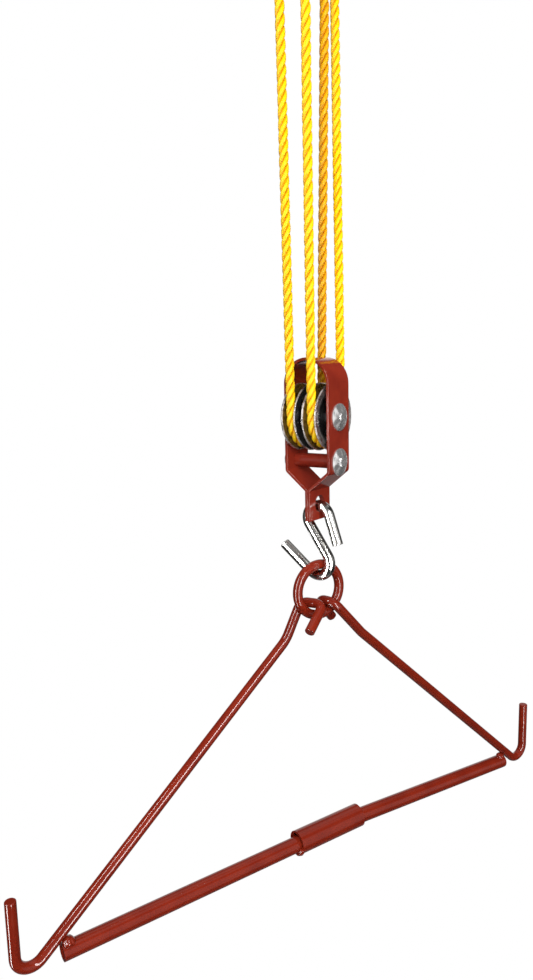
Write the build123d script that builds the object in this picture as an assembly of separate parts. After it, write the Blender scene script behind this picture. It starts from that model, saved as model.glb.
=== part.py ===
from build123d import *
import math
import os

# Four-part rope hoist with double-sheave blocks, S-hooks, a ring and a
# two-piece gambrel. Millimetres, +Z up. Origin: the seat of the top S-hook,
# the point by which the whole hoist hangs. X runs along the gambrel, Y across.

# ---------------------------------------------------------------- dimensions
rope_d = 6.8            # three-strand rope
rod_d = 7.94            # 5/16 in rod: ring and gambrel arms
hook_d = 8.6            # S-hook wire
bar_d = 12.7            # 1/2 in spreader tube
bar_wall = 1.6
sleeve_d = 19.05        # 3/4 in coupling sleeve
sleeve_wall = 1.65
strap_t = 2.1           # strap steel
strap_w = 28.6          # 1-1/8 in strap
axle_d = 7.94           # 5/16 in bolts
run_gap = 0.06          # radial running clearance of a sheave bore

twist = -70.0           # block axle direction, degrees from X
ux, uy = math.cos(math.radians(twist)), math.sin(math.radians(twist))

# lower block, heights from its axle
lo_half = 20.15         # half width over the strap
lo_arch = 24.9          # centre of the arch
lo_pin = -34.1          # cross bolt
lo_bend = -41.5
lo_tang = -56.0
lo_hole = -67.9
lo_end = -80.2
hole_r = 6.6
lo_R = 26.0             # sheave rim
lo_P = 21.0             # rope pitch radius
lo_a = (-9.25, 9.25)    # sheave centres along the axle
lo_w = 13.0             # sheave width

# head block, same build, inverted, with larger sheaves
hi_half = 21.9
hi_arch = 38.1
hi_pin = -49.0
hi_bend = -56.5
hi_tang = -71.0
hi_hole = -82.9
hi_end = -95.2
hi_R = 41.0
hi_P = 36.0
hi_a = (-11.15, 11.15)
hi_w = 13.0

head_off = (7.4, 0.0)  # head block centre from the lower block axis, along the axle and across it
axle_gap = 385.0        # between the two axles at rest

# S-hook, heights from the gambrel hub
sh_cu = (0.8, 66.2)     # bend in the block's tang
sh_ru = 10.2
sh_cl = (0.0, 30.5)     # open bend
sh_rl = 10.8
sh_tip_u = (18.3, 46.2)
sh_tip_l = (-32.5, 41.9)
hub_axle = 145.7        # lower axle above the hub

# ring and gambrel, from the hub
ring_r = 20.5
ring_z = 7.8
j_x, j_tip, j_corner, j_r = 255.5, -158.0, -224.0, 10.9
slope_l, slope_r = 0.029, 0.033
bar_end_x = 223.8
sleeve_x = (-25.3, 39.4)

# ------------------------------------------------------------------- frames
seat_z = sh_cl[1] - sh_rl + hook_d / 2
hole_h = hub_axle + lo_hole                    # lower tang hole above the hub
z_head = -(hole_h - seat_z) + hi_hole          # head axle
z_low = z_head - axle_gap                      # lower axle
z_hub = z_low - hub_axle
vx, vy = -uy, ux
low_x = -(head_off[0] * ux + head_off[1] * vx)
low_y = -(head_off[0] * uy + head_off[1] * vy)


def block_plane(x, y, z, flip=False):
    """Plane whose local X is the axle, local Y is across it, local Z is up
    the block; flip turns the block upside down."""
    if flip:
        return Plane(origin=(x, y, z), x_dir=(-ux, -uy, 0), z_dir=(0, 0, -1))
    return Plane(origin=(x, y, z), x_dir=(ux, uy, 0), z_dir=(0, 0, 1))


LOW = block_plane(low_x, low_y, z_low)
HEAD = block_plane(0, 0, z_head, flip=True)
HOOK_LO = block_plane(low_x, low_y, z_hub)
HOOK_HI = block_plane(0, 0, seat_z, flip=True)
HUB = Plane(origin=(low_x, low_y, z_hub), x_dir=(1, 0, 0), z_dir=(0, 0, 1))


def place(shape, plane):
    return plane.location * shape


def single(shape):
    s = shape.solids()
    return s[0] if len(s) == 1 else Compound(children=list(s))


parts = {}


def keep(name, shape, plane=None):
    shape = single(shape)
    parts[name] = place(shape, plane) if plane is not None else shape


def tube_x(r_out, r_in, x0, x1, z=0.0, y=0.0):
    """Tube or rod along local X."""
    pl = Plane(origin=(x0, y, z), x_dir=(0, 1, 0), z_dir=(1, 0, 0))
    sk = pl * Circle(r_out)
    if r_in:
        sk = sk - pl * Circle(r_in)
    return extrude(sk, x1 - x0)


# -------------------------------------------------------------------- strap
def strap(half, arch, bend, tang, end, pin):
    t = strap_t
    m = half - t / 2                          # centre line of the legs
    g = 0.05                                  # half gap between the two ends
    ctr = [(t / 2 + g, end), (t / 2 + g, tang), (m, bend), (m, arch)]

    def side(sign):
        out = []
        for i, (x, z) in enumerate(ctr):
            if i == 0:
                d = (0.0, 1.0)
                n = (-d[1], d[0])
                out.append((x + sign * n[0] * t / 2, z))
            elif i == len(ctr) - 1:
                out.append((x - sign * t / 2, z))
            else:
                a, b = ctr[i - 1], ctr[i + 1]
                d1 = (x - a[0], z - a[1])
                d2 = (b[0] - x, b[1] - z)
                l1, l2 = math.hypot(*d1), math.hypot(*d2)
                d1 = (d1[0] / l1, d1[1] / l1)
                d2 = (d2[0] / l2, d2[1] / l2)
                n1, n2 = (-d1[1], d1[0]), (-d2[1], d2[0])
                b_ = (n1[0] + n2[0], n1[1] + n2[1])
                k = 1.0 / (1.0 + n1[0] * n2[0] + n1[1] * n2[1])
                out.append((x + sign * b_[0] * k * t / 2, z + sign * b_[1] * k * t / 2))
        return out

    inner, outer = side(1), side(-1)          # left of travel is the inside
    mir = lambda pts: [(-x, z) for x, z in pts]
    lines = [
        Polyline(*[(x, z) for x, z in outer]),
        ThreePointArc(outer[-1], (0, arch + m + t / 2), mir(outer)[-1]),
        Polyline(*reversed(mir(outer))),
        Line(mir(outer)[0], mir(inner)[0]),
        Polyline(*mir(inner)),
        ThreePointArc(mir(inner)[-1], (0, arch + m - t / 2), inner[-1]),
        Polyline(*reversed(inner)),
        Line(inner[0], outer[0]),
    ]
    face = make_face(lines)
    body = extrude(Plane.XZ * face, strap_w / 2, both=True)
    sharp = [e for e in body.edges().filter_by(Axis.Y)
             if abs(e.center().Z - bend) < 2.5 and abs(e.center().X) > half - 4]
    outt = [e for e in sharp if abs(e.center().X) > half - t / 2]
    body = fillet(outt, 4.0)
    inn = [e for e in body.edges().filter_by(Axis.Y)
           if abs(e.center().Z - bend) < 2.5 and half - t / 2 > abs(e.center().X) > half - 4]
    body = fillet(inn, 2.0)
    for z in (0.0, pin):
        body -= tube_x(axle_d / 2, 0, -half - 5, half + 5, z=z)
    return body


def tang_hole(z):
    return tube_x(hole_r, 0, -10, 10, z=z)


low_strap = strap(lo_half, lo_arch, lo_bend, lo_tang, lo_end, lo_pin) - tang_hole(lo_hole)
head_strap = strap(hi_half, hi_arch, hi_bend, hi_tang, hi_end, hi_pin) - tang_hole(hi_hole)
# the rope's dead end passes through the head block's arch
dead_v = 6.5 - head_off[1]
dead_hole_r = rope_d / 2 + 0.7
head_strap -= Pos(0, dead_v, 0) * extrude(Pos(0, 0, hi_arch) * Circle(dead_hole_r), 40)


# --------------------------------------------------------------- fasteners
def revolve_x(points, x_sign=1):
    """Solid of revolution round local X from (x, r) points."""
    face = make_face(Polyline(*[(x, r) for x, r in points], close=True))
    f = Plane.XY * face
    return revolve(f, Axis.X, 360)


def dome_bolt(half, tail, hexnub):
    """Cross bolt: domed head on the +X leg, shank through both legs."""
    R, h = 10.4, 2.0
    rb = (R * R + h * h) / (2 * h)
    pts = [(half + 0.02, R)]
    pts.append((half + 0.9, R))
    for i in range(1, 9):
        r = R * (1 - i / 9.0)
        pts.append((half + 0.9 + math.sqrt(rb * rb - r * r) - (rb - h), r))
    pts.append((half + 0.9 + h, 0.0))
    pts += [(-half - tail, 0.0), (-half - tail, axle_d / 2 - 0.7), (-half - tail + 0.7, axle_d / 2),
            (half + 0.02, axle_d / 2)]
    body = revolve_x(pts)
    if hexnub:
        pl = Plane(origin=(half + 1.5, 0, 0), x_dir=(0, 1, 0), z_dir=(1, 0, 0))
        body += extrude(pl * RegularPolygon(3.6, 6), 2.2)
    else:
        body += tube_x(2.6, 0, half + 1.5, half + 3.6)
    return body


def hex_nut(half):
    pl = Plane(origin=(-half - 6.6, 0, 0), x_dir=(0, 1, 0), z_dir=(1, 0, 0))
    nut = extrude(pl * RegularPolygon(12.7 / math.sqrt(3), 6), 6.55)
    nut = nut & revolve_x([(-half - 6.6, 0), (-half - 6.6, 6.2), (-half - 5.4, 7.4), (-half - 0.03, 7.4), (-half - 0.03, 0)])
    return nut - tube_x(axle_d / 2, 0, -half - 8, -half + 2)


def washer(x0, x1, r):
    return tube_x(r, axle_d / 2 + 0.12, x0, x1)


def block_hardware(tag, half, pin, centres, width, plane):
    inner = half - strap_t
    keep(tag + "_axle_bolt", dome_bolt(half, 8.6, False), plane)
    keep(tag + "_axle_nut", hex_nut(half), plane)
    keep(tag + "_cross_bolt", Pos(0, 0, pin) * dome_bolt(half, 8.6, True), plane)
    keep(tag + "_cross_nut", Pos(0, 0, pin) * hex_nut(half), plane)
    keep(tag + "_spacer_tube", Pos(0, 0, pin) * tube_x(5.6, axle_d / 2 + 0.15, -inner + 0.02, inner - 0.02), plane)
    lo_face, hi_face = centres[0] - width / 2, centres[1] + width / 2
    keep(tag + "_washer_near", washer(hi_face + 0.08, inner - 0.05, 9.0), plane)
    keep(tag + "_washer_far", washer(-inner + 0.05, lo_face - 0.08, 9.0), plane)
    keep(tag + "_axle_collar", washer(centres[0] + width / 2 + 0.08, centres[1] - width / 2 - 0.08, 8.0), plane)


# ------------------------------------------------------------------ sheaves
def sheave_half(P, R, side):
    """Pressed half of a sheave; the rope centre runs at radius P."""
    gr = rope_d / 2 + 0.35
    t = 1.6
    b = 0.03
    s = math.sin(math.radians(45))
    rim = lo_w / 2
    inner = [(b, 7.06), (b, P - gr), (b + gr * 0.38, P - gr * 0.92), (gr * s, P - gr * s),
             (gr * 0.92, P - gr * 0.38), (gr, P), (rim - t, R - 0.5)]
    outer = [(rim - t * 0.5, R), (rim, R - 0.5), (gr + t, P - 0.8), (gr * 0.75 + t, P - gr * 0.75 - 0.9),
             (b + t, P - gr - 2.0), (b + t, 7.06)]
    pts = inner + outer
    face = make_face(Polyline(*[(x, r) for x, r in pts], close=True))
    body = revolve(face, Axis.X, 360)
    if side < 0:
        body = mirror(body, about=Plane.YZ)
    return body


def sheave(tag, P, R, width, centre, plane):
    for side, nm in ((1, "near"), (-1, "far")):
        keep(tag + "_half_" + nm, Pos(centre, 0, 0) * sheave_half(P, R, side), plane)
    keep(tag + "_hub", Pos(centre, 0, 0) * tube_x(7.0, axle_d / 2 + run_gap, -width / 2, width / 2), plane)


# ------------------------------------------------------------------- S-hook
def tangent_point(c, r, p, side):
    """Point on circle (c, r) whose tangent passes through p; side +1 or -1."""
    dx, dz = p[0] - c[0], p[1] - c[1]
    d = math.hypot(dx, dz)
    a = math.atan2(dz, dx) + side * math.acos(r / d)
    return (c[0] + r * math.cos(a), c[1] + r * math.sin(a)), a


def s_hook():
    (cu, ru), (cl, rl) = (sh_cu, sh_ru), (sh_cl, sh_rl)
    dx, dz = cl[0] - cu[0], cl[1] - cu[1]
    d = math.hypot(dx, dz)
    base = math.atan2(dz, dx)
    a = base - math.acos((ru + rl) / d)       # crossing tangent, left of the upper bend
    t1 = (cu[0] + ru * math.cos(a), cu[1] + ru * math.sin(a))
    t2 = (cl[0] - rl * math.cos(a), cl[1] - rl * math.sin(a))
    pu, au = tangent_point(cu, ru, sh_tip_u, 1)
    pl_, al = tangent_point(cl, rl, sh_tip_l, 1)
    mid_u = (cu[0] + ru * math.cos((au + a) / 2 + (math.pi if math.sin((au + a) / 2) < 0 else 0)),
             cu[1] + ru * math.sin((au + a) / 2 + (math.pi if math.sin((au + a) / 2) < 0 else 0)))
    mid_l = (cl[0], cl[1] - rl)
    f = lambda p: (p[0], 0, p[1])
    path = Wire([
        Edge.make_line(f(sh_tip_u), f(pu)),
        Edge.make_three_point_arc(f(pu), f(mid_u), f(t1)),
        Edge.make_line(f(t1), f(t2)),
        Edge.make_three_point_arc(f(t2), f(mid_l), f(pl_)),
        Edge.make_line(f(pl_), f(sh_tip_l)),
    ])
    dirv = Vector(*f(pu)) - Vector(*f(sh_tip_u))
    sect = Plane(origin=f(sh_tip_u), z_dir=dirv) * Circle(hook_d / 2)
    return sweep(sect, path=path)


# ------------------------------------------------------------ rods and tubes
def fillet_path(points, radii):
    """Wire through 3D points with rounded corners."""
    edges = []
    V = [Vector(*p) for p in points]
    start = V[0]
    for i in range(1, len(V) - 1):
        d1 = (V[i] - V[i - 1]).normalized()
        d2 = (V[i + 1] - V[i]).normalized()
        turn = math.acos(max(-1, min(1, d1.dot(d2))))
        r = radii[i - 1]
        tl = r * math.tan(turn / 2)
        a = V[i] - d1 * tl
        b = V[i] + d2 * tl
        bis = (d2 - d1).normalized()
        c = V[i] + bis * (r / math.cos(turn / 2))
        m = c - bis * r
        if (a - start).length > 1e-6:
            edges.append(Edge.make_line(start, a))
        edges.append(Edge.make_three_point_arc(a, m, b))
        start = b
    edges.append(Edge.make_line(start, V[-1]))
    return Wire(edges), V[0], (V[1] - V[0])


def rod(points, radii, d):
    w, p, dirv = fillet_path(points, radii)
    return sweep(Plane(origin=p, z_dir=dirv) * Circle(d / 2), path=w)


loop_y = 8.9
left_pts = [(-j_x, 0, j_tip), (-j_x, 0, j_corner), (-26.5, loop_y, -31.2), (-11.4, loop_y, -2.2),
            (-2.0, -loop_y, -2.0), (-24.1, -19.6, -17.6)]
right_pts = [(j_x, 0, j_tip), (j_x, 0, j_corner), (36.5, -loop_y, -33.0), (8.2, -loop_y, -2.2),
             (5.0, loop_y, -2.8), (20.3, loop_y, -21.3)]
left_arm = rod(left_pts, [j_r, 30, 8.0, 7.5], rod_d)
right_arm = rod(right_pts, [j_r, 30, 8.0, 8.0], rod_d)


def bar(x0, z0, x1, z1, r_out, r_in):
    v = Vector(x1 - x0, 0, z1 - z0)
    pl = Plane(origin=(x0, 0, z0), x_dir=(0, 1, 0), z_dir=v)
    sk = pl * Circle(r_out)
    if r_in:
        sk = sk - pl * Circle(r_in)
    return extrude(sk, v.length)


zl = lambda x: -205.2 - slope_l * (abs(x) - 30.0)
zs = lambda x: zl(-25.3) + 1.3 + slope_l * (x + 25.3)
zr0 = zs(sleeve_x[1]) - 1.35
zr = lambda x: zr0 - slope_r * (x - sleeve_x[1])
left_bar = bar(-bar_end_x, zl(-bar_end_x), 2.0, zl(-30) + slope_l * 32.0, bar_d / 2, bar_d / 2 - bar_wall)
right_bar = bar(9.0, zr(9.0), bar_end_x + 1.2, zr(bar_end_x + 1.2), bar_d / 2, bar_d / 2 - bar_wall)
sleeve = bar(sleeve_x[0], zs(sleeve_x[0]), sleeve_x[1], zs(sleeve_x[1]), sleeve_d / 2, sleeve_d / 2 - sleeve_wall)

# weld beads fill the corner between the pieces they join
bead_l = Pos(-bar_end_x + 3.0, 0, zl(-bar_end_x) + 9.0) * Sphere(4.6)
bead_l = bead_l - left_arm - left_bar - bar(-bar_end_x, zl(-bar_end_x), 0, zl(-30), bar_d / 2 - 0.5, 0)
bead_r = Pos(bar_end_x - 1.6, 0, zr(bar_end_x) + 9.0) * Sphere(4.6)
bead_r = bead_r - right_arm - right_bar - bar(100, zr(100), bar_end_x + 1.2, zr(bar_end_x + 1.2), bar_d / 2 - 0.5, 0)
bead_s = Pos(sleeve_x[0] - 0.3, -4.2, zs(sleeve_x[0]) - 6.6) * Sphere(3.3)
bead_s = bead_s - left_bar - sleeve - bar(-60, zl(-60), 2.0, zl(-30) + slope_l * 32, bar_d / 2 - 0.5, 0)


def biggest(shape):
    return max(shape.solids(), key=lambda s: s.volume)


# -------------------------------------------------------------------- build
keep("top_s_hook", s_hook(), HOOK_HI)

keep("head_strap", head_strap, HEAD)
block_hardware("head", hi_half, hi_pin, hi_a, hi_w, HEAD)
# seen from above, the head block is turned over, so its local axle direction is reversed
sheave("head_sheave_a", hi_P, hi_R, hi_w, hi_a[1], HEAD)
sheave("head_sheave_b", hi_P, hi_R, hi_w, hi_a[0], HEAD)

keep("lower_strap", low_strap, LOW)
block_hardware("lower", lo_half, lo_pin, lo_a, lo_w, LOW)
sheave("lower_sheave_a", lo_P, lo_R, lo_w, lo_a[0], LOW)
sheave("lower_sheave_b", lo_P, lo_R, lo_w, lo_a[1], LOW)

keep("lower_s_hook", s_hook(), HOOK_LO)
keep("ring", Pos(0, 0, ring_z) * (Rot(90, 0, 0) * Torus(ring_r, rod_d / 2)), HUB)
keep("left_arm", left_arm, HUB)
keep("left_bar", left_bar, HUB)
keep("coupling_sleeve", sleeve, HUB)
keep("left_weld", biggest(bead_l), HUB)
keep("sleeve_weld", biggest(bead_s), HUB)
keep("right_arm", right_arm, HUB)
keep("right_bar", right_bar, HUB)
keep("right_weld", biggest(bead_r), HUB)

# --------------------------------------------------------------------- rope
# points in the lower block's axle frame: along the axle, across it, up from the lower axle
ROPE = block_plane(low_x, low_y, z_low)
rr = rope_d / 2
ha = (head_off[0] - 11.15, head_off[0] + 11.15)
hv = head_off[1]
dead = (head_off[0], 6.5)
arch_in = axle_gap - (hi_arch + hi_half - strap_t)      # inside face of the head arch
arch_out = axle_gap - (hi_arch + hi_half)


def run(p, q):
    """Straight rope between two level sections."""
    return loft([Pos(*p) * Circle(rr), Pos(*q) * Circle(rr)])


def wrap(a, v, z, P, up):
    """Half turn round a sheave, over the top or under the bottom."""
    pl = Plane(origin=(a, v + P, z), x_dir=(1, 0, 0), z_dir=(0, 0, 1 if up else -1))
    ax = Axis((a, v, z), (1, 0, 0))
    return revolve(pl * Circle(rr), ax, 180 if up else -180)


def knot(x, y, z):
    """Stopper knot: a thick turn of rope with the rope through it."""
    return Pos(x, y, z) * Torus(4.6, 3.3)


gap = axle_gap
strands = {
    "rope_run_dead": ((dead[0], dead[1], arch_out - 0.5), (lo_a[0], lo_P, 0)),
    "rope_run_1": ((ha[0], hv - hi_P, gap), (lo_a[0], -lo_P, 0)),
    "rope_run_2": ((ha[0], hv + hi_P, gap), (lo_a[1], lo_P, 0)),
    "rope_run_3": ((ha[1], hv - hi_P, gap), (lo_a[1], -lo_P, 0)),
}
for nm, (top, bot) in strands.items():
    keep(nm, run(bot, top), ROPE)
keep("rope_wrap_lower_a", wrap(lo_a[0], 0, 0, lo_P, False), ROPE)
keep("rope_wrap_lower_b", wrap(lo_a[1], 0, 0, lo_P, False), ROPE)
keep("rope_wrap_head_a", wrap(ha[0], hv, gap, hi_P, True), ROPE)
keep("rope_wrap_head_b", wrap(ha[1], hv, gap, hi_P, True), ROPE)
knot_z = arch_in + 4.0
keep("rope_dead_end", Pos(dead[0], dead[1], 0) * (extrude(Pos(0, 0, arch_out - 0.5) * Circle(rr), knot_z + 6.5 - arch_out + 0.5)
                                                    + Pos(0, 0, knot_z) * Torus(4.6, 3.3)), ROPE)
fall_z = gap - 52.0
keep("rope_pull_end", Pos(ha[1], hv + hi_P, 0) * (extrude(Pos(0, 0, fall_z - 14) * Circle(rr), gap - fall_z + 14)
                                                     + Pos(0, 0, fall_z) * Torus(4.6, 3.3)), ROPE)

os.makedirs("parts", exist_ok=True)
for name, shape in parts.items():
    shape.label = name
    export_step(shape, os.path.join("parts", name + ".step"))
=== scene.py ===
import bpy, bmesh, math
import numpy as np
from mathutils import Vector, Matrix, noise


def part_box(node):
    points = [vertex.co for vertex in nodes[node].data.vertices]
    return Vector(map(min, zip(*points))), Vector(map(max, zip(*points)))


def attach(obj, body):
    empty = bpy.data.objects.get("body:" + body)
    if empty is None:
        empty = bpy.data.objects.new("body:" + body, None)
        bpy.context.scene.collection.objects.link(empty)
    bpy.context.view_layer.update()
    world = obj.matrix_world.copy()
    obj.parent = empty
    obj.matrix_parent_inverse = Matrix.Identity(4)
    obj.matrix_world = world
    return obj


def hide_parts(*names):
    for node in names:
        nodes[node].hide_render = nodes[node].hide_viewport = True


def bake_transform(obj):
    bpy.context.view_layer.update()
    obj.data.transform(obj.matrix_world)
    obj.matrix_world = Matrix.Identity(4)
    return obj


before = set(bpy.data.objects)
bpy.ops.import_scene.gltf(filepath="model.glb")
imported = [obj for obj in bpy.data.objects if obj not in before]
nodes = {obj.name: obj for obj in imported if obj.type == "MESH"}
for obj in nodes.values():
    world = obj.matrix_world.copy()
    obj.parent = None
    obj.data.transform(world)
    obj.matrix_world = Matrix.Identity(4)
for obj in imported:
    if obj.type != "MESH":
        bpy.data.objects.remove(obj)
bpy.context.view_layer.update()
MM = 0.001

# ---------------------------------------------------------------- frame
PSI, PITCH, ROLL = math.radians(32.957), math.radians(9.114), math.radians(-1.299)
HUB = Vector((-2.531, 6.954, -667.40)) * MM
LOW = Vector((-2.531, 6.954, -521.70)) * MM
HEAD = Vector((0.0, 0.0, -136.70)) * MM
TW = math.radians(-70.0)
U = Vector((math.cos(TW), math.sin(TW), 0.0))
V = Vector((-U.y, U.x, 0.0))
Z = Vector((0.0, 0.0, 1.0))
RIGHT = Vector((math.cos(PSI), -math.sin(PSI), 0.0))
AWAY = Vector((math.sin(PSI), math.cos(PSI), 0.0))

# ---------------------------------------------------------------- camera
fwd = AWAY * math.cos(PITCH) - Z * math.sin(PITCH)
up0 = AWAY * math.sin(PITCH) + Z * math.cos(PITCH)
r2 = RIGHT * math.cos(ROLL) + up0 * math.sin(ROLL)
u2 = -RIGHT * math.sin(ROLL) + up0 * math.cos(ROLL)
cam_data = bpy.data.cameras.new("cam")
cam = bpy.data.objects.new("cam", cam_data)
bpy.context.scene.collection.objects.link(cam)
cam_pos = HUB - RIGHT * 0.039918 - AWAY * 0.600 + Z * 0.185462
m = Matrix.Identity(4)
for i in range(3):
    m[i][0], m[i][1], m[i][2], m[i][3] = r2[i], u2[i], -fwd[i], cam_pos[i]
cam.matrix_world = m
cam_data.sensor_fit = "AUTO"
cam_data.sensor_width = 36.0
cam_data.lens = 776.14 / 980.0 * 36.0
cam_data.clip_start = 0.01
cam_data.clip_end = 60.0
bpy.context.scene.camera = cam


# ---------------------------------------------------------------- node help
def new_mat(name):
    mt = bpy.data.materials.new(name)
    mt.use_nodes = True
    nt = mt.node_tree
    nt.nodes.clear()
    out = nt.nodes.new("ShaderNodeOutputMaterial")
    bsdf = nt.nodes.new("ShaderNodeBsdfPrincipled")
    nt.links.new(bsdf.outputs[0], out.inputs[0])
    return mt, nt, bsdf


def node(nt, kind, ins=None, **attrs):
    n = nt.nodes.new(kind)
    for k, v in attrs.items():
        setattr(n, k, v)
    for k, v in (ins or {}).items():
        if isinstance(v, bpy.types.NodeSocket):
            nt.links.new(v, n.inputs[k])
        else:
            n.inputs[k].default_value = v
    return n


def ramp(nt, fac, stops, interp="LINEAR"):
    n = nt.nodes.new("ShaderNodeValToRGB")
    n.color_ramp.interpolation = interp
    el = n.color_ramp.elements
    while len(el) > 1:
        el.remove(el[-1])
    el[0].position = stops[0][0]
    el[0].color = (*stops[0][1], 1.0) if len(stops[0][1]) == 3 else stops[0][1]
    for p, c in stops[1:]:
        e = el.new(p)
        e.color = (*c, 1.0) if len(c) == 3 else c
    nt.links.new(fac, n.inputs[0])
    return n.outputs[0]


def grey(x):
    return (x, x, x)


def coords(nt):
    return nt.nodes.new("ShaderNodeTexCoord").outputs["Object"]


def scaled(nt, vec, s):
    return node(nt, "ShaderNodeVectorMath", {0: vec, 1: s}, operation="MULTIPLY").outputs[0]


def noise_tex(nt, vec, scale, detail=3.0, rough=0.5, distortion=0.0):
    return node(nt, "ShaderNodeTexNoise", {"Vector": vec, "Scale": scale, "Detail": detail,
                                            "Roughness": rough, "Distortion": distortion}).outputs[0]


def mix_col(nt, fac, a, b, mode="MIX"):
    n = nt.nodes.new("ShaderNodeMix")
    n.data_type = "RGBA"
    n.blend_type = mode
    for idx, v in ((0, fac), (6, a), (7, b)):
        if isinstance(v, bpy.types.NodeSocket):
            nt.links.new(v, n.inputs[idx])
        elif idx == 0:
            n.inputs[idx].default_value = v
        else:
            n.inputs[idx].default_value = (*v, 1.0)
    return n.outputs[2]


def math_n(nt, op, a, b=0.0, c=0.0, clamp=False):
    n = nt.nodes.new("ShaderNodeMath")
    n.operation = op
    n.use_clamp = clamp
    for i, v in enumerate((a, b, c)):
        if isinstance(v, bpy.types.NodeSocket):
            nt.links.new(v, n.inputs[i])
        else:
            n.inputs[i].default_value = v
    return n.outputs[0]


def bump(nt, height, strength, dist, normal=None):
    ins = {"Height": height, "Strength": strength, "Distance": dist}
    if normal is not None:
        ins["Normal"] = normal
    return node(nt, "ShaderNodeBump", ins).outputs[0]


# ---------------------------------------------------------------- materials
def paint_material(name, base=(0.225, 0.0225, 0.0105), dark=(0.155, 0.0140, 0.0080), edge=0.0006):
    """Glossy dipped red-brown paint: slow colour drift, faint orange peel, soft edges where it has drawn back."""
    mt, nt, b = new_mat(name)
    co = coords(nt)
    big = noise_tex(nt, co, 38.0, 3.0, 0.55)
    fine = noise_tex(nt, co, 1400.0, 2.0, 0.5)
    drift = ramp(nt, big, [(0.30, dark), (0.60, base)])
    speck = ramp(nt, fine, [(0.26, grey(0.97)), (0.50, grey(1.0))])
    nt.links.new(mix_col(nt, 1.0, drift, speck, "MULTIPLY"), b.inputs["Base Color"])
    rg = ramp(nt, noise_tex(nt, co, 120.0, 4.0, 0.6), [(0.35, grey(0.07)), (0.75, grey(0.13))])
    nt.links.new(rg, b.inputs["Roughness"])
    slow = noise_tex(nt, co, 45.0, 1.0, 0.4)
    if edge:
        bev = node(nt, "ShaderNodeBevel", {"Radius": edge}, samples=8).outputs[0]
        nt.links.new(bump(nt, slow, 0.03, 0.0010, bev), b.inputs["Normal"])
    else:
        nt.links.new(bump(nt, slow, 0.02, 0.0010), b.inputs["Normal"])
    b.inputs["Specular IOR Level"].default_value = 0.22
    return mt


def zinc_material(name, tone=0.72, rough=(0.10, 0.26), blue=0.02):
    """Bright zinc plate: metal with soft streaks, small pits and a faint blue cast."""
    mt, nt, b = new_mat(name)
    co = coords(nt)
    cloud = noise_tex(nt, co, 110.0, 4.0, 0.6)
    pits = noise_tex(nt, co, 1300.0, 2.0, 0.5)
    c1 = ramp(nt, pits, [(0.28, (tone * 0.70, tone * 0.70, tone * (0.72 + blue))), (0.42, (tone, tone, tone * (1 + blue)))])
    c2 = ramp(nt, cloud, [(0.3, grey(0.86)), (0.6, grey(1.0))])
    nt.links.new(mix_col(nt, 1.0, c1, c2, "MULTIPLY"), b.inputs["Base Color"])
    b.inputs["Metallic"].default_value = 1.0
    nt.links.new(ramp(nt, cloud, [(0.3, grey(rough[0])), (0.75, grey(rough[1]))]), b.inputs["Roughness"])
    n1 = bump(nt, pits, 0.10, 0.0002)
    nt.links.new(bump(nt, cloud, 0.12, 0.0006, n1), b.inputs["Normal"])
    return mt


def wire_material(name, tone=0.82):
    """Bright zinc on drawn wire: die lines run along it, round and along by the piece's own map; its colour carries
    near-black bands along the wire that are partly die lines and partly painted dark reflection streaks.
    """
    mt, nt, b = new_mat(name)
    uv = nt.nodes.new("ShaderNodeUVMap")
    uv.uv_map = "lay"
    sep = node(nt, "ShaderNodeSeparateXYZ", {0: uv.outputs[0]})
    ang = math_n(nt, "MULTIPLY", sep.outputs[0], 2 * math.pi)
    cx = math_n(nt, "MULTIPLY", math_n(nt, "COSINE", ang), 2.6)
    cy = math_n(nt, "MULTIPLY", math_n(nt, "SINE", ang), 2.6)
    cz = math_n(nt, "MULTIPLY", sep.outputs[1], 5.0)
    comb = node(nt, "ShaderNodeCombineXYZ", {0: cx, 1: cy, 2: cz}).outputs[0]
    lines = node(nt, "ShaderNodeTexNoise", {"Vector": comb, "Scale": 1.6, "Detail": 5.0, "Roughness": 0.62}).outputs[0]
    co = coords(nt)
    cloud = noise_tex(nt, co, 150.0, 4.0, 0.6)
    # partly painted reflection: the near-black bands along the wire stand in for dark streaks reflected in the zinc, as
    # well as die lines
    c1 = ramp(nt, lines, [(0.40, (tone * 0.10, tone * 0.09, tone * 0.08)), (0.53, (tone, tone, tone * 0.98))])
    c2 = ramp(nt, cloud, [(0.28, (0.90, 0.88, 0.86)), (0.52, grey(1.0))])
    nt.links.new(mix_col(nt, 1.0, c1, c2, "MULTIPLY"), b.inputs["Base Color"])
    b.inputs["Metallic"].default_value = 1.0
    nt.links.new(ramp(nt, lines, [(0.3, grey(0.20)), (0.6, grey(0.09))]), b.inputs["Roughness"])
    n1 = bump(nt, lines, 0.30, 0.0006)
    nt.links.new(bump(nt, cloud, 0.02, 0.0005, n1), b.inputs["Normal"])
    return mt


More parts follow.
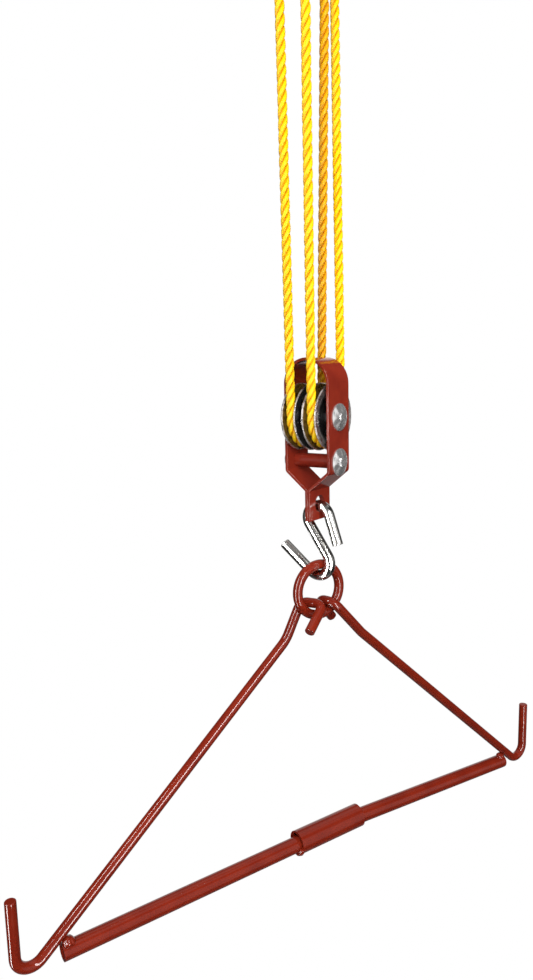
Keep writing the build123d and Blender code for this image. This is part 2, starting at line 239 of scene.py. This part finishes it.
def sheave_material(name, origin, centre, pitch, r_rim):
    """Pressed sheave: bright rubbed rim and dull olive groove, by place round the axle line; the outward flange faces
    carry a painted highlight, and the disc between hub and groove and the flange faces towards the other sheave are
    painted near-black shade.
    """
    mt, nt, b = new_mat(name)
    co = coords(nt)
    rel = node(nt, "ShaderNodeVectorMath", {0: co, 1: tuple(origin)}, operation="SUBTRACT").outputs[0]
    along = node(nt, "ShaderNodeVectorMath", {0: rel, 1: tuple(U)}, operation="DOT_PRODUCT").outputs["Value"]
    proj = node(nt, "ShaderNodeVectorMath", {0: tuple(U)}, operation="SCALE")
    nt.links.new(along, proj.inputs["Scale"])
    rad = node(nt, "ShaderNodeVectorMath", {0: rel, 1: proj.outputs[0]}, operation="SUBTRACT").outputs[0]
    ln = node(nt, "ShaderNodeVectorMath", {0: rad}, operation="LENGTH").outputs["Value"]
    wob = math_n(nt, "MULTIPLY", math_n(nt, "SUBTRACT", noise_tex(nt, co, 320.0, 4.0, 0.6), 0.5), 0.0016)
    lnw = math_n(nt, "ADD", ln, wob)
    cloud = noise_tex(nt, co, 240.0, 4.0, 0.65)
    # distance of the surface from the sheave's mid plane, against the groove wall at that radius
    off = math_n(nt, "ABSOLUTE", math_n(nt, "SUBTRACT", math_n(nt, "ABSOLUTE", along), centre))
    wall = math_n(nt, "MULTIPLY_ADD", math_n(nt, "SUBTRACT", ln, pitch), 0.24, 0.00375 + 0.0008)
    outer = node(nt, "ShaderNodeMapRange", {0: math_n(nt, "SUBTRACT", off, wall), 1: -0.0002, 2: 0.0002, 3: 0.0, 4: 1.0}).outputs[0]
    rim_t = node(nt, "ShaderNodeMapRange", {0: lnw, 1: r_rim - 0.0011, 2: r_rim - 0.0005, 3: 0.0, 4: 1.0}).outputs[0]
    flange_t = node(nt, "ShaderNodeMapRange", {0: lnw, 1: pitch - 0.0016, 2: pitch + 0.0006, 3: 0.0, 4: 1.0}).outputs[0]
    # painted highlight: only the flange faces turned outward, away from the other sheave, are made bright
    near = node(nt, "ShaderNodeMapRange", {0: along, 1: centre + 0.0015, 2: centre + 0.0025, 3: 0.0, 4: 1.0}).outputs[0]
    painted_flange_highlight = math_n(nt, "MULTIPLY", near, math_n(nt, "MULTIPLY", outer, flange_t))
    bright = math_n(nt, "MAXIMUM", rim_t, painted_flange_highlight)
    groove = ramp(nt, cloud, [(0.35, (0.060, 0.036, 0.0055)), (0.65, (0.150, 0.098, 0.018))])
    # painted shade: near-black for the disc between hub and groove and for the flange faces towards the other sheave
    painted_shade_web = ramp(nt, cloud, [(0.35, grey(0.010)), (0.65, grey(0.028))])
    rim = ramp(nt, cloud, [(0.3, (0.50, 0.46, 0.44)), (0.7, (0.66, 0.62, 0.60))])
    deep = node(nt, "ShaderNodeMapRange", {0: ln, 1: pitch - 0.0056, 2: pitch - 0.0050, 3: 1.0, 4: 0.0}).outputs[0]
    back = mix_col(nt, math_n(nt, "MAXIMUM", outer, deep), groove, painted_shade_web)
    nt.links.new(mix_col(nt, bright, back, rim), b.inputs["Base Color"])
    nt.links.new(math_n(nt, "MULTIPLY_ADD", bright, 0.45, 0.5), b.inputs["Metallic"])
    nt.links.new(ramp(nt, cloud, [(0.3, grey(0.22)), (0.75, grey(0.36))]), b.inputs["Roughness"])
    comb = node(nt, "ShaderNodeCombineXYZ", {0: math_n(nt, "MULTIPLY", ln, 2600.0), 1: math_n(nt, "MULTIPLY", along, 2600.0)})
    turn = node(nt, "ShaderNodeTexNoise", {"Vector": comb.outputs[0], "Scale": 1.0, "Detail": 2.0}).outputs[0]
    nt.links.new(bump(nt, turn, 0.18, 0.0003, bump(nt, cloud, 0.25, 0.0005)), b.inputs["Normal"])
    return mt


def bolt_material(name, origin, z0, tone=0.88):
    """Zinc bolt head: shallow pressed rays round its centre, soft shine."""
    mt, nt, b = new_mat(name)
    co = coords(nt)
    rel = node(nt, "ShaderNodeVectorMath", {0: co, 1: tuple(Vector(origin) + Z * z0)}, operation="SUBTRACT").outputs[0]
    pv = node(nt, "ShaderNodeVectorMath", {0: rel, 1: tuple(V)}, operation="DOT_PRODUCT").outputs["Value"]
    pz = node(nt, "ShaderNodeSeparateXYZ", {0: rel}).outputs[2]
    an = math_n(nt, "ARCTAN2", pz, pv)
    r_ = math_n(nt, "SQRT", math_n(nt, "ADD", math_n(nt, "MULTIPLY", pv, pv), math_n(nt, "MULTIPLY", pz, pz)))
    rays = math_n(nt, "SINE", math_n(nt, "MULTIPLY_ADD", an, 6.0, 0.7))
    fade = node(nt, "ShaderNodeMapRange", {0: r_, 1: 0.0026, 2: 0.0062, 3: 0.0, 4: 1.0}).outputs[0]
    edge = node(nt, "ShaderNodeMapRange", {0: r_, 1: 0.0088, 2: 0.0101, 3: 1.0, 4: 0.0}).outputs[0]
    height = math_n(nt, "MULTIPLY", rays, math_n(nt, "MULTIPLY", fade, edge))
    cloud = noise_tex(nt, co, 160.0, 4.0, 0.6)
    c2 = ramp(nt, cloud, [(0.3, grey(tone * 0.80)), (0.6, grey(tone))])
    nt.links.new(c2, b.inputs["Base Color"])
    b.inputs["Metallic"].default_value = 0.86
    nt.links.new(ramp(nt, cloud, [(0.3, grey(0.20)), (0.75, grey(0.32))]), b.inputs["Roughness"])
    n1 = bump(nt, height, 0.30, 0.0006)
    nt.links.new(bump(nt, cloud, 0.12, 0.0005, n1), b.inputs["Normal"])
    return mt


def rope_material(name):
    """Twisted polypropylene: yarn lines along each strand; painted shade darkens each strand from its bright crown to
    orange in the lay, and darkens the first stretch from the dead end.
    """
    mt, nt, b = new_mat(name)
    uv = nt.nodes.new("ShaderNodeUVMap")
    uv.uv_map = "lay"
    sep = node(nt, "ShaderNodeSeparateXYZ", {0: uv.outputs[0]})
    ucoord, vcoord = sep.outputs[0], sep.outputs[1]
    # distance from the crown line, 0 on the crown, 1 at the strand's inside
    crown = math_n(nt, "ABSOLUTE", math_n(nt, "SUBTRACT", math_n(nt, "MULTIPLY", ucoord, 2.0), 1.0))
    # painted shade: the colour darkens from each strand's crown into the lay between strands
    base = ramp(nt, crown, [(0.0, (1.0, 0.665, 0.0030)), (0.20, (1.0, 0.63, 0.0028)), (0.36, (0.98, 0.55, 0.0024)),
                            (0.50, (0.86, 0.43, 0.0020)), (0.75, (0.62, 0.27, 0.0020))])
    # painted shade: the first stretch from the dead end, the run that lies behind the others, is darkened to a dull
    # amber
    painted_shade_stretch = node(nt, "ShaderNodeMapRange", {0: vcoord, 1: 0.315, 2: 0.345, 3: 1.0, 4: 0.0}).outputs[0]
    base = mix_col(nt, painted_shade_stretch, base, mix_col(nt, 1.0, base, (0.72, 0.60, 1.0), "MULTIPLY"))
    # yarns: fine lines that run along the strand and drift across it
    drift = math_n(nt, "MULTIPLY", vcoord, 26.0)
    yarn = node(nt, "ShaderNodeCombineXYZ", {0: math_n(nt, "ADD", math_n(nt, "MULTIPLY", ucoord, 46.0), drift),
                                            1: math_n(nt, "MULTIPLY", vcoord, 90.0)})
    yn = node(nt, "ShaderNodeTexNoise", {"Vector": yarn.outputs[0], "Scale": 1.0, "Detail": 2.0, "Roughness": 0.55}).outputs[0]
    tint = ramp(nt, yn, [(0.32, (0.97, 0.84, 0.80)), (0.55, grey(1.0))])
    nt.links.new(mix_col(nt, 0.8, base, mix_col(nt, 1.0, base, tint, "MULTIPLY")), b.inputs["Base Color"])
    nt.links.new(ramp(nt, yn, [(0.3, grey(0.30)), (0.7, grey(0.50))]), b.inputs["Roughness"])
    nt.links.new(bump(nt, yn, 0.35, 0.0003), b.inputs["Normal"])
    b.inputs["Specular IOR Level"].default_value = 0.10
    b.inputs["Subsurface Weight"].default_value = 0.22
    b.inputs["Subsurface Radius"].default_value = (1.0, 0.85, 0.05)
    b.inputs["Subsurface Scale"].default_value = 0.0022
    return mt


PAINT = paint_material("red_paint_strap")
PAINT_ROD = paint_material("red_paint_rod", (0.178, 0.0150, 0.0055), (0.135, 0.0105, 0.0045), 0.0)
PAINT_FLAT = paint_material("red_paint_plain", (0.178, 0.0150, 0.0055), (0.135, 0.0105, 0.0045), 0.0)
ZINC = zinc_material("zinc_wire_bright", 0.74, (0.10, 0.24))
BOLT = zinc_material("zinc_bolt_bright", 0.86, (0.16, 0.30), 0.03)
SHEAVE_LO = sheave_material("sheave_lower", LOW, 0.00925, 0.021, 0.0260)
SHEAVE_HI = sheave_material("sheave_head", HEAD, 0.01115, 0.036, 0.0410)
BOLTS = {"lower_axle_bolt": bolt_material("bolt_lower_axle", LOW, 0.0), "lower_cross_bolt": bolt_material("bolt_lower_cross", LOW, -0.0341),
         "head_axle_bolt": bolt_material("bolt_head_axle", HEAD, 0.0), "head_cross_bolt": bolt_material("bolt_head_cross", HEAD, 0.0490)}
ROPE = rope_material("rope_yellow")
ROPE_DARK = ROPE


def assign(o, mt):
    o.data.materials.clear()
    o.data.materials.append(mt)


for n, o in nodes.items():
    if n.startswith("rope_"):
        assign(o, ROPE)
    elif n.endswith("_s_hook"):
        assign(o, ZINC)
    elif n in BOLTS:
        assign(o, BOLTS[n])
    elif "sheave" in n and "half" in n:
        assign(o, SHEAVE_LO if n.startswith("lower") else SHEAVE_HI)
    elif "sheave" in n or any(k in n for k in ("bolt", "nut", "washer", "collar")):
        assign(o, BOLT)
    elif n in ("left_arm", "right_arm", "ring", "left_weld", "right_weld", "left_bar", "right_bar",
               "coupling_sleeve", "sleeve_weld"):
        assign(o, PAINT_ROD)
    else:
        assign(o, PAINT)


# ---------------------------------------------------------------- rope
def rp(u, v, z):
    """A point of the block frame: along the axle, across it, up from the lower axle, in millimetres."""
    return LOW + (U * u + V * v + Z * z) * MM


route = [
    rp(7.40, 6.50, 333.6), rp(5.30, 8.33, 283.5), rp(-7.15, 19.17, 41.0), rp(-8.80, 20.61, 8.7),
    rp(-9.25, 21.00, -8.7), rp(-9.25, 8.70, -21.0), rp(-9.25, -8.70, -21.0), rp(-9.25, -21.00, -8.7),
    rp(-9.13, -21.34, 8.7), rp(-8.66, -22.60, 41.0), rp(-4.34, -34.40, 344.0), rp(-3.96, -35.42, 370.1),
    rp(-3.75, -36.00, 399.9), rp(-3.75, -14.90, 421.0), rp(-3.75, 14.90, 421.0), rp(-3.75, 36.00, 399.9),
    rp(-3.25, 35.42, 370.1), rp(-2.37, 34.40, 344.0), rp(7.87, 22.60, 41.0), rp(8.96, 21.34, 8.7),
    rp(9.25, 21.00, -8.7), rp(9.25, 8.70, -21.0), rp(9.25, -8.70, -21.0), rp(9.25, -21.00, -8.7),
    rp(9.46, -21.34, 8.7), rp(10.24, -22.60, 41.0), rp(17.56, -34.40, 344.0), rp(18.19, -35.42, 370.1),
    rp(18.55, -36.00, 399.9), rp(18.55, -14.90, 421.0), rp(18.55, 14.90, 421.0), rp(18.55, 36.00, 399.9),
    rp(18.55, 36.00, 370.1), rp(18.55, 36.00, 319.0),
]
rope_cu = bpy.data.curves.new("rope_line", "CURVE")
rope_cu.dimensions = "3D"
sp = rope_cu.splines.new("NURBS")
sp.points.add(len(route) - 1)
for p, q in zip(sp.points, route):
    p.co = (*q, 1.0)
sp.order_u = 3
sp.use_endpoint_u = True
sp.resolution_u = 24
rope_line = bpy.data.objects.new("rope_line", rope_cu)
bpy.context.scene.collection.objects.link(rope_line)
bpy.context.view_layer.update()
dg = bpy.context.evaluated_depsgraph_get()
lm = bpy.data.meshes.new_from_object(rope_line.evaluated_get(dg))
line = np.array([v.co for v in lm.vertices], float)
bpy.data.objects.remove(rope_line)


def resample(pts, step):
    seg = np.linalg.norm(np.diff(pts, axis=0), axis=1)
    s = np.concatenate([[0], np.cumsum(seg)])
    n = max(2, int(round(s[-1] / step)) + 1)
    t = np.linspace(0, s[-1], n)
    return np.stack([np.interp(t, s, pts[:, k]) for k in range(3)], axis=1), t


def frames(pts):
    """Tangent and two normals, carried along the line without twist."""
    T = np.gradient(pts, axis=0)
    T /= np.linalg.norm(T, axis=1)[:, None]
    n = np.cross(T[0], [0.3, 0.9, 0.2])
    n /= np.linalg.norm(n)
    N = np.zeros_like(pts)
    for i in range(len(pts)):
        n = n - T[i] * np.dot(n, T[i])
        n /= np.linalg.norm(n)
        N[i] = n
    return T, N, np.cross(T, N)


def twisted(name, pts, d, lay, step=0.0011, sides=18, cap=True, taper=None):
    """Three strands laid right-handed round a line, as one mesh with a map along and round each strand."""
    P, s = resample(pts, step)
    T, N, B = frames(P)
    rc, ar, at = 0.270 * d, 0.245 * d, 0.292 * d
    verts, faces, uvs = [], [], []
    for k in range(3):
        base = len(verts)
        ph = 2 * math.pi * s / lay + k * 2 * math.pi / 3
        er = N * np.cos(ph)[:, None] + B * np.sin(ph)[:, None]
        et = -N * np.sin(ph)[:, None] + B * np.cos(ph)[:, None]
        ang = np.linspace(0, 2 * math.pi, sides, endpoint=False) - math.pi
        wob = 1.0 + 0.03 * np.sin(s * 310.0 + k * 1.7) + 0.02 * np.sin(s * 97.0 + k)
        for i in range(len(P)):
            for a in ang:
                ca, sa = math.cos(a), math.sin(a)
                rr = (abs(ca) ** 2.4 + abs(sa) ** 2.4) ** (-1 / 2.4)
                verts.append(P[i] + er[i] * (rc + ar * rr * ca * wob[i] if ca > 0 else rc + ar * rr * ca) + et[i] * (at * rr * sa))
        for i in range(len(P) - 1):
            for j in range(sides):
                j2 = (j + 1) % sides
                a0, a1 = base + i * sides + j, base + i * sides + j2
                faces.append((a0, a1, a1 + sides, a0 + sides))
                uvs.append(((j / sides, s[i]), ((j + 1) / sides, s[i]), ((j + 1) / sides, s[i + 1]), (j / sides, s[i + 1])))
        if cap:
            for i, flip in ((0, True), (len(P) - 1, False)):
                ring = [base + i * sides + j for j in range(sides)]
                faces.append(tuple(reversed(ring)) if flip else tuple(ring))
                uvs.append(tuple((0.5, 0.0) for _ in ring))
    me = bpy.data.meshes.new(name)
    me.from_pydata([tuple(v) for v in verts], [], faces)
    uvl = me.uv_layers.new(name="lay")
    flat = [c for f in uvs for uv in f for c in uv]
    uvl.data.foreach_set("uv", flat)
    me.polygons.foreach_set("use_smooth", [True] * len(me.polygons))
    me.update()
    o = bpy.data.objects.new(name, me)
    bpy.context.scene.collection.objects.link(o)
    me.materials.append(ROPE)
    return o, P


ROPE_D = 6.8 * MM
rope, rope_pts = twisted("rope", line, ROPE_D, 0.0242)
rope_len = float(np.linalg.norm(np.diff(rope_pts, axis=0), axis=1).sum())
print("rope length", rope_len, "verts", len(rope.data.vertices))
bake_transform(rope)
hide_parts(*[n for n in nodes if n.startswith("rope_")])


def stopper_knot(name, u, v, z, v0):
    """A barrel stopper: the tail wound twice round the rope and drawn tight, its end tucked in."""
    n = 160
    a = np.linspace(0, 2 * math.pi * 2.3, n)
    t = np.linspace(0, 1, n)
    r = 5.1 - 2.2 * np.clip((0.10 - t) / 0.10, 0, 1) ** 2 - 2.2 * np.clip((t - 0.90) / 0.10, 0, 1) ** 2
    h = (t - 0.5) * 7.6
    pts = np.array([list(rp(u + r[i] * math.cos(a[i]), v + r[i] * math.sin(a[i]), z + h[i])) for i in range(n)])
    o, _ = twisted(name, pts, 5.2 * MM, 0.0185, step=0.0009)
    for item in o.data.uv_layers["lay"].data:
        item.uv[1] += v0
    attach(o, "head_block")
    return o


knot_dead = stopper_knot("rope_knot_dead", 7.4, 6.5, 331.0, 0.0)
knot_pull = stopper_knot("rope_knot_pull", 18.55, 36.0, 333.0, 1.0)


# ---------------------------------------------------------------- rods and wire
def arc(c, r, a0, a1, n=48):
    return [(c[0] + r * math.cos(a0 + (a1 - a0) * i / n), 0.0, c[1] + r * math.sin(a0 + (a1 - a0) * i / n)) for i in range(n + 1)]


def bent(points, radii, n=24):
    """A line of straight legs with rounded corners, in millimetres."""
    P = [Vector(p) for p in points]
    out = [P[0]]
    for i in range(1, len(P) - 1):
        d1, d2 = (P[i] - P[i - 1]).normalized(), (P[i + 1] - P[i]).normalized()
        turn = d1.angle(d2)
        r = radii[i - 1]
        a = P[i] - d1 * (r * math.tan(turn / 2))
        side = (d2 - d1 * d1.dot(d2)).normalized()
        c = a + side * r
        for k in range(n + 1):
            t = turn * k / n
            out.append(c - side * (r * math.cos(t)) + d1 * (r * math.sin(t)))
    out.append(P[-1])
    return [tuple(p) for p in out]


def rod_mesh(name, pts, r, origin, ax=(Vector((1, 0, 0)), Vector((0, 1, 0)), Vector((0, 0, 1))), closed=False,
             edge=0.7, sides=40, step=0.8, swell=None, mat=None, body=None, replaces=()):
    """A round rod along a line, with softened ends and a map round and along it."""
    P = np.array([tuple(origin + (ax[0] * p[0] + ax[1] * p[1] + ax[2] * p[2]) * MM) for p in pts], float)
    if closed:
        P = np.vstack([P, P[:1]])
    P, s_ = resample(P, step * MM)
    T, N, B = frames(P)
    R = np.full(len(P), r * MM)
    if closed:
        # spread the small mismatch of the carried normal over the loop
        c_, s2_ = float(np.dot(N[-1], N[0])), float(np.dot(N[-1], B[0]))
        off = -math.atan2(s2_, c_)
        ph = np.linspace(0, off, len(P))
        N, B = N * np.cos(ph)[:, None] + B * np.sin(ph)[:, None], -N * np.sin(ph)[:, None] + B * np.cos(ph)[:, None]
        P, R, N, B, s_ = P[:-1], R[:-1], N[:-1], B[:-1], s_[:-1]
    if swell:
        R = R * np.array([swell(x / MM) for x in s_])
    rings = []
    if not closed:
        e = edge * MM
        prof = [(0.0, r * MM - e), (e * 0.13, r * MM - e * 0.5), (e * 0.5, r * MM - e * 0.13)]
        for d_, rr_ in prof:
            rings.append((P[0] + T[0] * d_, rr_, N[0], B[0], d_))
        for i in range(len(P)):
            if e <= s_[i] <= s_[-1] - e:
                rings.append((P[i], R[i], N[i], B[i], s_[i]))
        for d_, rr_ in reversed(prof):
            rings.append((P[-1] - T[-1] * d_, rr_, N[-1], B[-1], s_[-1] - d_))
    else:
        rings = [(P[i], R[i], N[i], B[i], s_[i]) for i in range(len(P))]
    verts, faces, uvs = [], [], []
    an = np.linspace(0, 2 * math.pi, sides, endpoint=False)
    for p, rr_, n_, b_, _ in rings:
        for a_ in an:
            verts.append(tuple(p + n_ * (rr_ * math.cos(a_)) + b_ * (rr_ * math.sin(a_))))
    m_ = len(rings)
    for i in range(m_ if closed else m_ - 1):
        i2 = (i + 1) % m_
        sa, sb = rings[i][4], rings[i][4] + 0.0008 if closed else rings[i2][4]
        for j in range(sides):
            j2 = (j + 1) % sides
            faces.append((i * sides + j, i * sides + j2, i2 * sides + j2, i2 * sides + j))
            uvs.append(((j / sides, sa), ((j + 1) / sides, sa), ((j + 1) / sides, sb), (j / sides, sb)))
    if not closed:
        for i, rev in ((0, True), (m_ - 1, False)):
            ring_ = [i * sides + j for j in range(sides)]
            faces.append(tuple(reversed(ring_)) if rev else tuple(ring_))
            uvs.append(tuple((j / sides, rings[i][4]) for j in range(sides)))
    me = bpy.data.meshes.new(name)
    me.from_pydata(verts, [], faces)
    uvl = me.uv_layers.new(name="lay")
    uvl.data.foreach_set("uv", [c for f in uvs for uv in f for c in uv])
    flags = [True] * len(me.polygons)
    if not closed:
        flags[-1] = flags[-2] = False
    me.polygons.foreach_set("use_smooth", flags)
    me.update()
    bm_ = bmesh.new()
    bm_.from_mesh(me)
    bmesh.ops.recalc_face_normals(bm_, faces=bm_.faces)
    bm_.to_mesh(me)
    bm_.free()
    o = bpy.data.objects.new(name, me)
    bpy.context.scene.collection.objects.link(o)
    me.materials.append(mat)
    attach(o, body)
    if replaces:
        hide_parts(*replaces)
    return o


WIRE = wire_material("zinc_wire_drawn")


def tangent_angle(c, r, p, side):
    dx, dz = p[0] - c[0], p[1] - c[1]
    return math.atan2(dz, dx) + side * math.acos(r / math.hypot(dx, dz))


def s_hook_line():
    cu, ru, cl, rl = (0.8, 66.2), 10.2, (0.0, 30.5), 10.8
    tu, tl = (18.3, 46.2), (-32.5, 41.9)
    dx, dz = cl[0] - cu[0], cl[1] - cu[1]
    a = math.atan2(dz, dx) - math.acos((ru + rl) / math.hypot(dx, dz))
    au, al = tangent_angle(cu, ru, tu, 1), tangent_angle(cl, rl, tl, 1)
    a_u1 = a
    while a_u1 < au:
        a_u1 += 2 * math.pi
    b0 = a + math.pi
    b1 = al
    while b1 > b0:
        b1 -= 2 * math.pi
    return [(tu[0], 0.0, tu[1])] + arc(cu, ru, au, a_u1) + arc(cl, rl, b0, b1) + [(tl[0], 0.0, tl[1])]


hook_pts = s_hook_line()
lower_hook = rod_mesh("lower_s_hook_wire", hook_pts, 4.3, HUB, (U, V, Z), edge=0.5, mat=WIRE, body="s_hook",
                      replaces=["lower_s_hook"])
top_hook = rod_mesh("top_s_hook_wire", hook_pts, 4.3, Vector((0, 0, 0.024)), (-U, V, -Z), edge=0.5, mat=WIRE,
                    body="top_hook", replaces=["top_s_hook"])
ring_pts = [(20.5 * math.cos(2 * math.pi * i / 120), 0.0, 7.8 + 20.5 * math.sin(2 * math.pi * i / 120)) for i in range(120)]
ring_o = rod_mesh("ring_rod", ring_pts, 3.97, HUB, closed=True, mat=PAINT_ROD, body="ring", replaces=["ring"])
LY = 8.9
left_line = bent([(-255.5, 0, -158.0), (-255.5, 0, -224.0), (-26.5, LY, -31.2), (-11.4, LY, -2.2),
                  (-2.0, -LY, -2.0), (-24.1, -19.6, -17.6)], [10.9, 30, 8.0, 7.5])
right_line = bent([(255.5, 0, -158.0), (255.5, 0, -224.0), (36.5, -LY, -33.0), (8.2, -LY, -2.2),
                   (5.0, LY, -2.8), (20.3, LY, -21.3)], [10.9, 30, 8.0, 8.0])
left_o = rod_mesh("left_arm_rod", left_line, 3.97, HUB, mat=PAINT_ROD, body="left_half", replaces=["left_arm"])
right_o = rod_mesh("right_arm_rod", right_line, 3.97, HUB, mat=PAINT_ROD, body="right_half", replaces=["right_arm"])


# ---------------------------------------------------------------- weld beads
def bead(name, centre, size, body, node_name, seed, squash=1.0, mat=None):
    """A fused bead: a lumpy drop with solidification ripples."""
    bm_ = bmesh.new()
    bmesh.ops.create_icosphere(bm_, subdivisions=5, radius=1.0)
    for v_ in bm_.verts:
        d_ = v_.co.normalized()
        k = 1.0 + 0.16 * noise.noise(d_ * 1.4 + Vector((seed, 0, 0)))
        k += 0.012 * math.sin(d_.x * 14.0 + 2.0 * d_.z)
        v_.co = Vector((d_.x * size[0], d_.y * size[1], d_.z * size[2])) * (k * MM)
    me_ = bpy.data.meshes.new(name)
    bm_.to_mesh(me_)
    bm_.free()
    me_.polygons.foreach_set("use_smooth", [True] * len(me_.polygons))
    o_ = bpy.data.objects.new(name, me_)
    bpy.context.scene.collection.objects.link(o_)
    o_.location = HUB + Vector(centre) * MM
    me_.materials.append(mat or PAINT_FLAT)
    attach(o_, body)
    if node_name:
        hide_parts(node_name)
    return o_


bead("left_weld_bead", (-219.4, -1.0, -203.6), (4.4, 4.4, 4.0), "left_half", "left_weld", 1.3)
bead("right_weld_bead", (221.8, -0.4, -205.0), (4.2, 4.0, 4.8), "right_half", "right_weld", 4.1)


def arc_bead(name, x, zc, slope, r0, r1, a0, a1, body, node_name, seed):
    """A bead laid part of the way round a tube, at the mouth of a sleeve."""
    verts, faces = [], []
    n_, m_ = 60, 20
    for i in range(n_ + 1):
        t = i / n_
        a_ = math.radians(a0 + (a1 - a0) * t)
        end = max(0.0, 1.0 - (2 * t - 1) ** 8) ** 0.5
        rr_ = r1 * (0.30 + 0.70 * end) * (1 + 0.10 * noise.noise(Vector((t * 5.0 + seed, 0.3, 0.0))) + 0.05 * math.sin(t * 34.0))
        cy, cz = math.sin(a_), -math.cos(a_)
        for j in range(m_):
            b_ = 2 * math.pi * j / m_
            rad = r0 + rr_ * math.cos(b_)
            verts.append(tuple(HUB + Vector((x + 0.9 * rr_ * math.sin(b_), rad * -cy, zc + rad * cz)) * MM))
    for i in range(n_):
        for j in range(m_):
            j2 = (j + 1) % m_
            faces.append((i * m_ + j, i * m_ + j2, (i + 1) * m_ + j2, (i + 1) * m_ + j))
    faces.append(tuple(range(m_ - 1, -1, -1)))
    faces.append(tuple(n_ * m_ + j for j in range(m_)))
    me_ = bpy.data.meshes.new(name)
    me_.from_pydata(verts, [], faces)
    me_.polygons.foreach_set("use_smooth", [True] * len(me_.polygons))
    bm_ = bmesh.new()
    bm_.from_mesh(me_)
    bmesh.ops.recalc_face_normals(bm_, faces=bm_.faces)
    bm_.to_mesh(me_)
    bm_.free()
    o_ = bpy.data.objects.new(name, me_)
    bpy.context.scene.collection.objects.link(o_)
    me_.materials.append(PAINT_FLAT)
    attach(o_, body)
    if node_name:
        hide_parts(node_name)
    return o_


lo_s, hi_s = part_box("coupling_sleeve")
mouth_z = (Vector(lo_s).z - HUB.z) / MM + 9.6
arc_bead("sleeve_weld_bead", -25.9, mouth_z, 0.0, 8.0, 2.5, 0.0, 78.0, "left_half", "sleeve_weld", 2.2)


# ---------------------------------------------------------------- stage
def emit(name, col, strength):
    mt = bpy.data.materials.new(name)
    mt.use_nodes = True
    nt = mt.node_tree
    nt.nodes.clear()
    out = nt.nodes.new("ShaderNodeOutputMaterial")
    em = node(nt, "ShaderNodeEmission", {"Color": (*col, 1.0), "Strength": strength})
    nt.links.new(em.outputs[0], out.inputs[0])
    return mt


bm = bmesh.new()
bmesh.ops.create_uvsphere(bm, u_segments=48, v_segments=24, radius=20.0)
me = bpy.data.meshes.new("backdrop")
bm.to_mesh(me)
bm.free()
dome = bpy.data.objects.new("backdrop", me)
bpy.context.scene.collection.objects.link(dome)
me.materials.append(emit("backdrop_white", (1.0, 1.0, 1.0), 1.0))
dome.visible_diffuse = dome.visible_glossy = dome.visible_transmission = dome.visible_shadow = False
dome.visible_volume_scatter = False

world = bpy.data.worlds.new("studio")
bpy.context.scene.world = world
world.use_nodes = True
wt = world.node_tree
wt.nodes.clear()
wo = wt.nodes.new("ShaderNodeOutputWorld")
bg = wt.nodes.new("ShaderNodeBackground")
wt.links.new(bg.outputs[0], wo.inputs[0])
gen = wt.nodes.new("ShaderNodeTexCoord").outputs["Generated"]


def glow(direction, lo, hi, level):
    """A soft bright patch of the studio, round a direction."""
    d = Vector(direction).normalized()
    dot = node(wt, "ShaderNodeVectorMath", {0: gen, 1: tuple(d)}, operation="DOT_PRODUCT").outputs["Value"]
    mr = node(wt, "ShaderNodeMapRange", {0: dot, 1: lo, 2: hi, 3: 0.0, 4: level}, interpolation_type="SMOOTHSTEP")
    return mr.outputs[0]


total = None
for args in ((AWAY, 0.78, 0.92, 1.05),
             (Z + AWAY * 0.15, 0.72, 0.92, 0.95),
             (-Z + AWAY * 0.25, 0.66, 0.95, 0.22),
             (RIGHT * 0.78 - AWAY * 0.62 + Z * 0.10, 0.78, 0.92, 0.95),
             (-RIGHT * 0.80 - AWAY * 0.60 + Z * 0.20, 0.86, 0.94, 1.00),
             (-AWAY + Z * 0.35, 0.60, 0.98, 0.26)):
    g = glow(*args)
    total = g if total is None else math_n(wt, "ADD", total, g)
total = math_n(wt, "ADD", total, 0.035)
wt.links.new(total, bg.inputs["Strength"])
bg.inputs["Color"].default_value = (1.0, 0.985, 0.97, 1.0)


def area(name, pos, target, size, energy, col=(1, 1, 1)):
    li = bpy.data.lights.new(name, "AREA")
    li.shape = "RECTANGLE"
    li.size, li.size_y = size
    li.energy = energy
    li.color = col
    o = bpy.data.objects.new(name, li)
    bpy.context.scene.collection.objects.link(o)
    o.location = pos
    o.rotation_euler = (Vector(target) - Vector(pos)).to_track_quat("-Z", "Y").to_euler()
    return o


mid = HUB + Z * 0.02
strip = area("strip_left", mid - RIGHT * 0.95 - AWAY * 0.70 - Z * 0.25, mid - Z * 0.25, (0.18, 2.6), 72.0)
strip.visible_diffuse = False
strip2 = area("strip_right", mid + RIGHT * 0.42 - AWAY * 1.08 - Z * 0.05, mid - Z * 0.05, (0.20, 1.7), 44.0)
strip2.visible_diffuse = False
fill = area("fill_front", mid + RIGHT * 0.05 - AWAY * 1.5 + Z * 0.75, mid, (1.1, 1.3), 36.0)
fill.visible_glossy = False
side = area("fill_right", mid + RIGHT * 1.3 - AWAY * 0.5 + Z * 0.3, mid, (0.8, 1.3), 4.0)
side.visible_glossy = False
topl = area("top", mid + Z * 1.2 - AWAY * 0.2, mid, (0.9, 0.25), 4.0)
topl.visible_glossy = False

sc = bpy.context.scene
sc.view_settings.view_transform = "Standard"
sc.view_settings.look = "None"
sc.view_settings.exposure = 0.0
